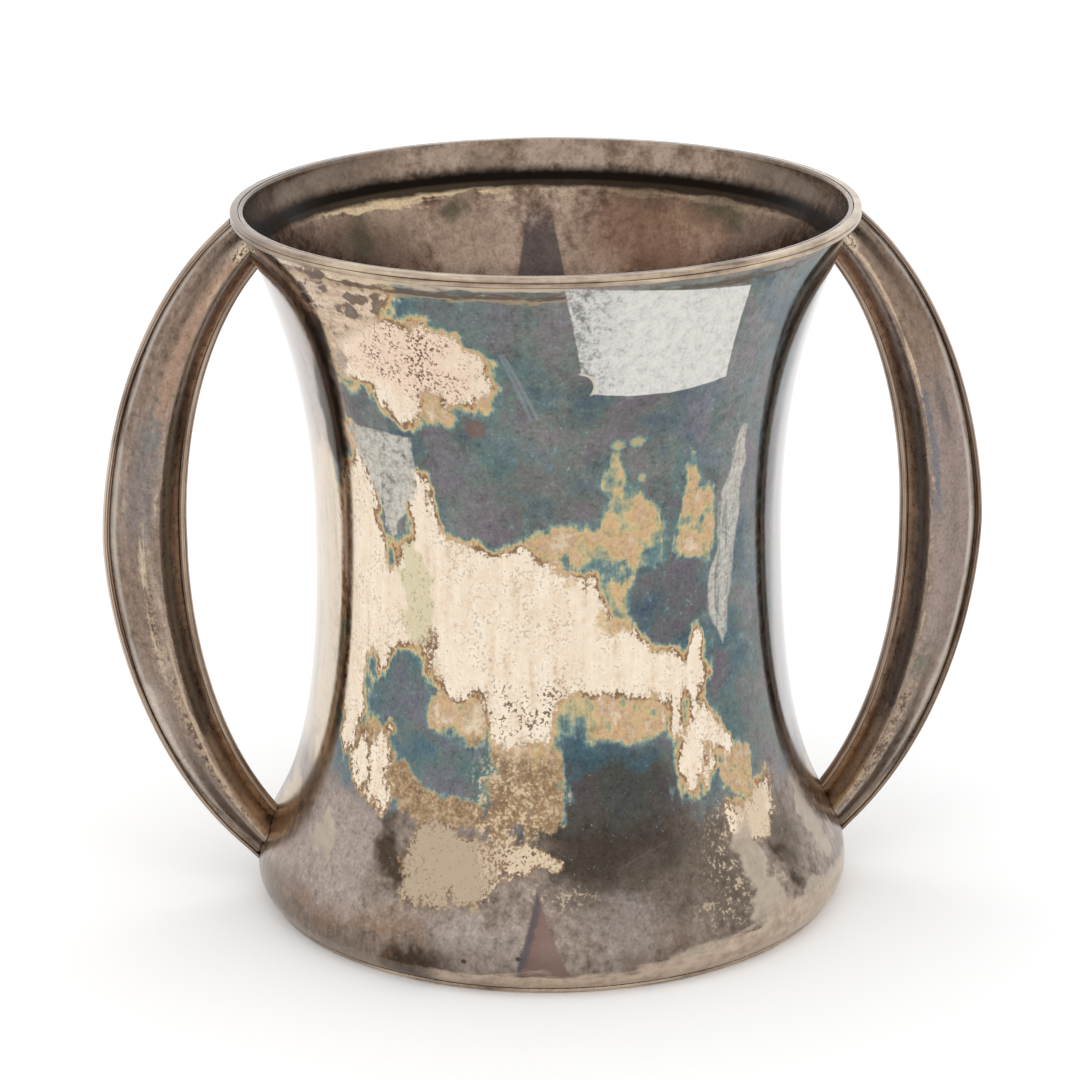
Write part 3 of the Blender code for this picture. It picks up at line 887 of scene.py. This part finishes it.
def worn_silver(name, dark, middle, light, roughness, lines=(), dirty=0.85, left_side=0.8):
    """Silver rubbed by handling, streaked round the cup.

    Dirt lies in the grooves at the heights in lines, and the cup's left side is darker, by left_side.
    """
    g = Wrap(name)
    grain = g.noise(500, 4, 0.65)
    cloud = g.noise(60, 3, 0.6)
    around = g.noise(260, 4, 0.6, g.stretched(0.2, 0.2, 3))
    both = cloud * 0.35 + (grain * 0.15 + around * 0.5)
    g.colour = g.ramp(both, [(0.38, *dark), (0.48, *middle), (0.60, *light)])
    for height in lines:
        off = around * 0.4 + abs(g.height - height)
        dirt = g.step(off, GROOVE_HALF_WIDTH + 0.35, GROOVE_HALF_WIDTH + 0.05, 0, dirty)
        g.lay(dirt, (78, 64, 50))
    from_left_side = abs(g.degrees + 100)
    g.lay(g.step(from_left_side, 70, 20, 0, left_side), dark)
    g.bump(around, 0.00003, 0.3)
    return g.finish(g.step(grain, 0.3, 0.7, roughness - 0.04, roughness + 0.06))


# Patches on the broad outer face of the left handle (-1) and the right one (1): the heights between which they
# lie and how soft those ends are, in millimetres, the same across the section as shares of its width, how strong
# they are, and their colour
HANDLE_PATCHES = [
    (-1, (122, 168, 6), (0.44, 0.62, 0.06), 0.7, (172, 140, 120)),
    (-1, (96, 126, 5), (0.28, 0.62, 0.06), 0.6, (126, 119, 118)),
    (-1, (119, 127, 2), (0.40, 0.58, 0.04), 0.5, (112, 124, 120)),
    (-1, (10, 60, 8), (0.1, 0.4, 0.08), 0.5, (158, 138, 128)),
    (1, (60, 130, 8), (0.15, 0.62, 0.06), 0.65, (160, 144, 138)),
    (1, (94, 128, 5), (0.54, 0.64, 0.03), 0.75, (116, 118, 124)),
    (1, (118, 128, 4), (0.30, 0.44, 0.04), 0.6, (98, 90, 90)),
    (1, (52, 58, 3), (0.36, 0.62, 0.05), 0.6, (120, 124, 112)),
    (1, (132, 166, 8), (0.24, 0.6, 0.06), 0.5, (128, 104, 88)),
]


def handle_silver():
    """Tarnish that follows the handle's section: across runs from 0 at the outer edge to 1 at the inner one."""
    g = Wrap("handle_tarnish")
    across = g.attribute("across")
    along = g.attribute("along")
    left = g.step(g.degrees, -0.5, 0.5, 1, 0)
    right = 1 - left
    flow = g.combine(across * 0.02, along * 0.14, left)
    grain = g.noise(430, 5, 0.7)
    speck = g.noise(1300, 2, 0.6)
    blotch = g.noise(170, 4, 0.65)
    streak = g.noise(330, 4, 0.65, flow)
    broad_streak = g.noise(140, 3, 0.6, flow)
    mottle = grain * 0.5 + speck * 0.5
    shift = blotch * 20 + (grain * 16 - 18)
    height = g.height + shift
    aside = blotch * 0.12 + (grain * 0.08 - 0.1)
    place = across + aside
    mixed = broad_streak * 0.35 + (grain * 0.25 + streak * 0.4)
    g.colour = g.ramp(mixed, [
        (0.36, 98, 82, 70), (0.45, 130, 112, 98), (0.53, 150, 132, 118), (0.64, 176, 160, 146),
    ])
    for side, up_and_down, in_and_out, strength, shade in HANDLE_PATCHES:
        patch = (left if side < 0 else right) * g.span(height, *up_and_down) * g.span(place, *in_and_out)
        g.lay(patch, shade, strength)

    # The steep inner face is painted lighter, and lighter still near its foot, to offset the dark body that it
    # reflects, with a painted shade stripe beside the crest in its lower half
    past_crest = across - g.attribute("crest")
    face = g.ramp(mixed, [(0.36, 150, 132, 120), (0.5, 186, 168, 154), (0.64, 212, 194, 178)])
    g.lay(g.step(past_crest, 0, 0.05), face)
    near_foot = aside * 0.3 + across
    g.lay(g.step(near_foot, 0.80, 0.86), (214, 192, 172), 0.7)
    stripe = aside * 0.5 + past_crest
    beside = g.step(stripe, 0.01, 0.03) * g.step(stripe, 0.2, 0.13)
    beside = beside * g.step(height, 150, 120, 0.3, 1) * g.step(height, 36, 46)
    g.lay(beside, (84, 71, 61), 0.85)

    # The crest is worn to pale metal in streaks, which break up into specks lower down
    from_crest = abs(past_crest + 0.03)
    on_crest = g.step(streak * -0.16 + from_crest, -0.05, -0.07)
    upper_right = right * g.step(height, 122, 130)
    lower_left = left * g.step(height, 70, 62)
    worn = g.most(upper_right, lower_left, g.step(blotch, 0.54, 0.62, 0.1, 0.8))
    g.lay(on_crest * worn, (204, 180, 154), 0.8)
    middle_streak = left * g.span(height, 62, 98, 5) * g.span(streak * 0.16 + across, 0.52, 0.58, 0.02)
    g.lay(middle_streak * g.step(streak, 0.4, 0.5), (206, 188, 162), 0.85)
    low_specks = right * g.span(height, 18, 50, 5) * g.span(place, 0.4, 0.6, 0.05)
    mid_specks = left * g.span(height, 60, 80, 4) * g.span(place, 0.42, 0.54, 0.05)
    thin_specks = left * g.span(height, 14, 58, 5) * g.span(streak * 0.2 + place, 0.6, 0.68, 0.03)
    many = g.most(low_specks, g.most(mid_specks, thin_specks))
    g.lay(g.step(mottle, 0.51, 0.55) * many, (192, 168, 140), 0.65)
    g.lay(g.step(mottle, 0.47, 0.43) * many, (82, 68, 54), 0.5)
    # Low on the outer face near its edge: pale, and painted lighter still to offset the dark reflections of the
    # cove and bead
    below = g.step(height, 64, 48)
    g.lay(below * g.span(place, 0.06, 0.34, 0.05), (190, 174, 162), 0.6)
    g.lay(below * g.span(place, 0.07, 0.2, 0.03), (226, 212, 198), 0.7)
    gold_end = g.span(height, 14, 42, 5) * g.step(past_crest, -0.02, 0.06)
    g.lay(gold_end, (178, 150, 120), 0.6)

    # Solder at the joints, pitted black
    from_top = along + shift * 0.0002
    ends = g.most(g.step(from_top, 0.006, 0.004), g.step(from_top, 0.185, 0.187))
    near_crest = g.span(past_crest, -0.12, 0.08, 0.05)
    g.lay(ends * near_crest * g.step(mottle, 0.46, 0.5), (212, 194, 168), 0.85)
    g.lay(ends * g.step(mottle, 0.46, 0.42), (58, 46, 38), 0.7)
    g.colour = g.shade(g.colour, mottle, [(0.36, 0.66), (0.46, 0.9), (0.54, 1), (0.64, 1.16)])

    # The beads are rubbed, and dirt lies beside them and in the groove between the halves
    bead_tone = g.ramp(streak, [(0.36, 128, 108, 94), (0.6, 178, 158, 140)])
    outer_bead = g.step(across, 0.082, 0.074)
    g.lay(g.most(outer_bead, g.step(across, 0.905, 0.913)) * 0.85, bead_tone)
    g.lay(left * outer_bead * g.step(height, 130, 110), (222, 204, 188), 0.7)
    # A pale strip beside the outer cove, stronger high on the right handle: a painted reflection
    cove_reflection_strip = right * g.step(height, 120, 96, 0, 0.3) + g.step(streak, 0.36, 0.5, 0.1, 0.6)
    g.lay(g.span(across, 0.12, 0.165, 0.02) * cove_reflection_strip, (200, 192, 184))
    dirt = g.most(g.span(across, 0.078, 0.098, 0.006), g.span(across, 0.893, 0.908, 0.006))
    g.lay(dirt, (58, 46, 38), 0.85)
    groove = g.most(g.span(across, 0.034, 0.040, 0.004), g.span(across, 0.953, 0.957, 0.004))
    g.lay(groove, (84, 68, 56), 0.6)
    g.bump(grain, 0.00003, 0.5)
    return g.finish(g.step(grain, 0.3, 0.7, 0.26, 0.36))


def body_shell():
    inside = offset_curve(OUTLINE, WALL)
    inside[-1] = (TURNED_RADIUS - BASE_LAND, TURNED_HEIGHT)
    outer = [(LIP_RADIUS - LIP_ROUND, HEIGHT), (LIP_RADIUS, HEIGHT - LIP_ROUND)] + OUTLINE[1:]
    inner_lip = LIP_RADIUS - WALL
    inner = inside[:0:-1] + [(inner_lip, HEIGHT - LIP_ROUND), (inner_lip + LIP_ROUND, HEIGHT)]
    silver = [body_silver(), inner_silver()]
    mesh = turned("body_shell_fine", outer + inner, silver, "body_shell", 60)
    mesh.polygons.foreach_set("material_index", ([0] * len(outer) + [1] * len(inner)) * TURNS)
    mark_patches(mesh)


def rim_wire():
    """Two reeds, one above the other, with dirt between them and under the lower one."""
    middle = (HEIGHT + WIRE_BOTTOM) / 2
    silver = worn_silver(
        "rim_worn", (122, 105, 91), (170, 151, 132), (208, 190, 167), 0.2,
        (WIRE_BOTTOM * 1000, middle * 1000), 0.5,
    )
    inner_radius = LIP_RADIUS + SEAM
    reed_radius = RIM_RADIUS - SEAM / 2 - WIRE_REED_DEPTH
    reed = (HEIGHT - WIRE_BOTTOM) / 2
    wire = [(inner_radius, HEIGHT)]
    for reed_middle in (HEIGHT - reed / 2, HEIGHT - reed * 1.5):
        for step in range(ROUND_STEPS + 1):
            angle = math.radians(REED_ARC - 2 * REED_ARC * step / ROUND_STEPS)
            out = WIRE_REED_DEPTH * math.cos(angle)
            wire.append((reed_radius + out, reed_middle + reed / 2 * math.sin(angle)))
    wire.append((inner_radius, WIRE_BOTTOM))
    turned("rim_wire_fine", wire, [silver], "rim_wire")


def foot_ring():
    # Worn silver, its colour also lighter to offset the floor's contact shadow: painted light
    silver = worn_silver("foot_worn_painted_light", (150, 131, 115), (200, 180, 160), (230, 212, 192), 0.24)
    inner_radius = FOOT_RADIUS - FOOT_WIDTH
    ring = []
    for step in range(ROUND_STEPS + 1):
        angle = math.pi / 2 * step / ROUND_STEPS
        ring.append((FOOT_RADIUS - FOOT_ROUND * (1 - math.cos(angle)), FOOT_HEIGHT * (1 - math.sin(angle))))
    ring += [(inner_radius, 0), (inner_radius, FOOT_HEIGHT)]
    turned("foot_ring_fine", ring, [silver], "foot_ring")


def bottom_plate():
    """A disc with bevelled edges, made of a turned rim and two middle points."""
    silver = worn_silver("plate_dark", (58, 48, 42), (88, 74, 64), (124, 106, 92), 0.3, left_side=0.0)
    flat = PLATE_RADIUS - PLATE_BEVEL
    rim = [
        (flat, PLATE_TOP), (PLATE_RADIUS, PLATE_TOP - PLATE_BEVEL),
        (PLATE_RADIUS, PLATE_BOTTOM + PLATE_BEVEL), (flat, PLATE_BOTTOM),
    ]
    last = len(rim) - 1
    faces = []
    for turn in range(TURNS):
        here, there = (2 + k % TURNS * len(rim) for k in (turn, turn + 1))
        faces += [(0, here, there), (1, there + last, here + last)]
        faces += [(here + i, here + i + 1, there + i + 1, there + i) for i in range(last)]
    points = [(0, 0, PLATE_TOP), (0, 0, PLATE_BOTTOM)] + spun(rim)
    add_object("bottom_plate_fine", points, faces, [silver], "bottom_plate", 40)


def handle_spine():
    """The handle's middle line in its own plane, top to bottom, run on past both ends into the body."""
    top = Vector((radius_at(HANDLE_TOP_HEIGHT), HANDLE_TOP_HEIGHT))
    middle = Vector((HANDLE_REACH - HANDLE_WIDTH / 2, HANDLE_MIDDLE_HEIGHT))
    bottom = Vector((radius_at(HANDLE_BOTTOM_HEIGHT), HANDLE_BOTTOM_HEIGHT))
    rise = top.y - middle.y
    fall = middle.y - bottom.y
    top_run = Vector((math.cos(HANDLE_TOP_ANGLE), -math.sin(HANDLE_TOP_ANGLE)))
    bottom_run = Vector((math.cos(HANDLE_BOTTOM_ANGLE), math.sin(HANDLE_BOTTOM_ANGLE)))
    upper = curve_between(
        top, top + HANDLE_END_FULLNESS * rise * top_run,
        middle + Vector((0, HANDLE_MIDDLE_FULLNESS * rise)), middle, HANDLE_STATIONS,
    )
    lower = curve_between(
        middle, middle - Vector((0, HANDLE_MIDDLE_FULLNESS * fall)),
        bottom + HANDLE_END_FULLNESS * fall * bottom_run, bottom, HANDLE_STATIONS,
    )
    parts = range(1, OVERRUN_STEPS + 1)
    before = [tuple(top - HANDLE_OVERRUN * part / OVERRUN_STEPS * top_run) for part in reversed(parts)]
    after = [tuple(bottom - HANDLE_OVERRUN * part / OVERRUN_STEPS * bottom_run) for part in parts]
    return before + upper + lower[1:] + after


def bead(middle, half_width, rise, start, stop):
    """Points round a bead with a fine groove along its top, between two angles in degrees."""
    points = []
    for step in range(BEAD_POINTS):
        degrees = start + (stop - start) * step / (BEAD_POINTS - 1)
        angle = math.radians(degrees)
        groove = 1 - BEAD_GROOVE * math.exp(-((degrees - 90) / BEAD_GROOVE_WIDTH) ** 2)
        points.append((middle + half_width * math.cos(angle), rise * groove * math.sin(angle)))
    return points


def arch(outer_foot, crest, inner_foot, count):
    """A gentle slope up from the outer foot to the crest, and a steep one down to the inner foot."""
    broad = crest[0] - outer_foot[0]
    steep = inner_foot[0] - crest[0]
    climb = crest[1] - outer_foot[1]
    rising = curve_between(
        outer_foot,
        (outer_foot[0] + BROAD_FOOT_HOLD[0] * broad, outer_foot[1] + BROAD_FOOT_HOLD[1] * climb),
        (crest[0] - BROAD_CREST_HOLD * broad, crest[1]),
        crest, count,
    )
    falling = curve_between(
        crest,
        (crest[0] + STEEP_CREST_HOLD * steep, crest[1]),
        (inner_foot[0] - STEEP_FOOT_HOLD[0] * steep, inner_foot[1] + STEEP_FOOT_HOLD[1] * climb),
        inner_foot, count,
    )
    return rising + falling[1:]


def handle_section(width, crest_share):
    """Half of the handle's section: distance in from the outer edge, and height above the seam."""
    half = HANDLE_THICKNESS / 2 - SEAM / 2
    crest = width * (1 - crest_share)
    outer_foot = OUTER_BEAD[0] + OUTER_COVE
    inner_foot = width - INNER_BEAD[0] - INNER_COVE
    hollow = arch(
        (outer_foot + HANDLE_SHEET, 0), (crest, half - HANDLE_SHEET), (inner_foot - HANDLE_SHEET, 0),
        HOLLOW_POINTS,
    )
    return (
        bead(OUTER_BEAD[0] / 2, OUTER_BEAD[0] / 2, OUTER_BEAD[1], 180, BEAD_END)
        + arch((outer_foot, COVE_RISE), (crest, half), (inner_foot, COVE_RISE), SECTION_POINTS)
        + bead(width - INNER_BEAD[0] / 2, INNER_BEAD[0] / 2, INNER_BEAD[1], 180 - BEAD_END, 0)
        + hollow[::-1]
    )


def in_body(point):
    """Whether a point is inside the body or its rim wire, one seam larger all round."""
    radius = math.hypot(point.x, point.y)
    if point.z > WIRE_BOTTOM - SEAM and radius < RIM_RADIUS + SEAM:
        return True
    return radius < radius_at(point.z) + SEAM


def lengths_along(line):
    """How far along a line each of its points lies."""
    lengths = [0.0]
    for a, b in zip(line, line[1:]):
        lengths.append(lengths[-1] + (b - a).length)
    return lengths


def trim_line(line):
    """A line of points cut where it enters the body at both ends, with its points spread again."""
    first = last = len(line) // 2
    while first > 0 and not in_body(line[first - 1]):
        first -= 1
    while last < len(line) - 1 and not in_body(line[last + 1]):
        last += 1
    ends = []
    for outside, inside in ((first, first - 1), (last, last + 1)):
        a, b = line[outside].copy(), line[inside].copy()
        for _ in range(HALVINGS):
            half = (a + b) / 2
            if in_body(half):
                b = half
            else:
                a = half
        ends.append(a)
    kept = [ends[0]] + line[first:last + 1] + [ends[1]]
    lengths = lengths_along(kept)
    spread = []
    k = 0
    for step in range(len(line)):
        want = lengths[-1] * step / (len(line) - 1)
        while k < len(lengths) - 2 and lengths[k + 1] < want:
            k += 1
        share = (want - lengths[k]) / max(lengths[k + 1] - lengths[k], 1e-9)
        spread.append(kept[k].lerp(kept[k + 1], min(max(share, 0), 1)))
    return spread


def handle_half(name, side, front, material):
    spine = handle_spine()
    middle = len(spine) // 2
    rings, shares, crests = [], [], []
    for i, point in enumerate(spine):
        run = Vector(spine[min(i + 1, len(spine) - 1)]) - Vector(spine[max(i - 1, 0)])
        outward = Vector((-run.y, run.x)).normalized()
        from_middle = min(abs(i - middle) / (HANDLE_STATIONS - 1), 1)
        width = HANDLE_WIDTH + (HANDLE_END_WIDTH - HANDLE_WIDTH) * from_middle ** NARROWING
        crest_share = CREST_SHARE + (CREST_END_SHARE - CREST_SHARE) * from_middle ** CREST_MOVING
        outer_edge = Vector(point) + outward * width / 2
        ring = []
        for inward, rise in handle_section(width, crest_share):
            place = outer_edge - outward * inward
            ring.append(Vector((side * place.x - HANDLES_OFF_CENTRE, -front * (SEAM / 2 + rise), place.y)))
            shares.append(inward / width)
            crests.append(1 - crest_share)
        rings.append(ring)
    lines = [trim_line(list(line)) for line in zip(*rings)]
    count = len(lines)
    faces = []
    for start in range(0, count * (len(rings) - 1), count):
        for j in range(count):
            k = (j + 1) % count
            faces.append((start + j, start + k, start + count + k, start + count + j))
    faces.append(tuple(range(count)))
    faces.append(tuple(range(count * (len(rings) - 1), count * len(rings))))
    points = [point for ring in zip(*lines) for point in ring]
    mesh = add_object(name + "_fine", points, faces, [material], name, 50)
    alongs = [length for ring in zip(*map(lengths_along, lines)) for length in ring]
    for title, values in (("across", shares), ("crest", crests), ("along", alongs)):
        mesh.attributes.new(title, "FLOAT", "POINT").data.foreach_set("value", values)


FLOOR_HALF = 6.0


def stage():
    corners = [(-1, -1), (1, -1), (1, 1), (-1, 1)]
    floor_mesh = bpy.data.meshes.new("floor")
    floor_mesh.from_pydata([(x * FLOOR_HALF, y * FLOOR_HALF, 0) for x, y in corners], [], [(0, 1, 2, 3)])
    floor = bpy.data.objects.new("floor", floor_mesh)
    bpy.context.scene.collection.objects.link(floor)
    g = Graph("floor_paper")
    g.colour = g.ramp(g.noise(8, 2, 0.5), [(0.3, 0.95), (0.7, 0.97)])
    g.put(g.shader.inputs, {"Specular IOR Level": 0.0})
    floor_mesh.materials.append(g.finish(0.9, 0))


def light():
    world = bpy.data.worlds.new("studio")
    bpy.context.scene.world = world
    world.use_nodes = True
    background = world.node_tree.nodes["Background"]
    background.inputs["Color"].default_value = (1, 1, 1, 1)
    background.inputs["Strength"].default_value = LIGHT


# The photograph's camera: its place before the cup's axis, how it is aimed, and how the cup is turned under it
CAMERA_DISTANCE = 0.8837
CAMERA_HEIGHT = 0.3776
CAMERA_PAN = math.radians(-0.14)
CAMERA_PITCH = math.radians(18.03)
CAMERA_ROLL = math.radians(-0.59)
CUP_TURNED = math.radians(4.42)
SENSOR_WIDTH = 36
FOCAL_PIXELS = 3748.5
FRAME_PIXELS = 1080
CLIP_START, CLIP_END = 0.01, 50


def camera():
    forward = Vector((
        math.sin(CAMERA_PAN) * math.cos(CAMERA_PITCH), math.cos(CAMERA_PAN) * math.cos(CAMERA_PITCH),
        -math.sin(CAMERA_PITCH),
    ))
    right = Vector((math.cos(CAMERA_PAN), -math.sin(CAMERA_PAN), 0))
    up = right.cross(forward)
    tilted_right = right * math.cos(CAMERA_ROLL) + up * math.sin(CAMERA_ROLL)
    tilted_up = up * math.cos(CAMERA_ROLL) - right * math.sin(CAMERA_ROLL)
    facing = Matrix((tilted_right, tilted_up, -forward)).transposed().to_4x4()
    turn = Matrix.Rotation(-CUP_TURNED, 4, "Z")
    data = bpy.data.cameras.new("camera")
    data.sensor_width = SENSOR_WIDTH
    data.lens = SENSOR_WIDTH * FOCAL_PIXELS / FRAME_PIXELS
    data.clip_start, data.clip_end = CLIP_START, CLIP_END
    obj = bpy.data.objects.new("camera", data)
    obj.matrix_world = turn @ Matrix.Translation((0, -CAMERA_DISTANCE, CAMERA_HEIGHT)) @ facing
    bpy.context.scene.collection.objects.link(obj)
    bpy.context.scene.camera = obj


def main():
    body_shell()
    rim_wire()
    foot_ring()
    bottom_plate()
    silver = handle_silver()
    for side_name, side in (("left", -1), ("right", 1)):
        for face_name, front in (("front", 1), ("back", -1)):
            handle_half(f"handle_{side_name}_{face_name}_half", side, front, silver)
    stage()
    light()
    camera()
    bpy.context.scene.view_settings.view_transform = "Standard"


main()
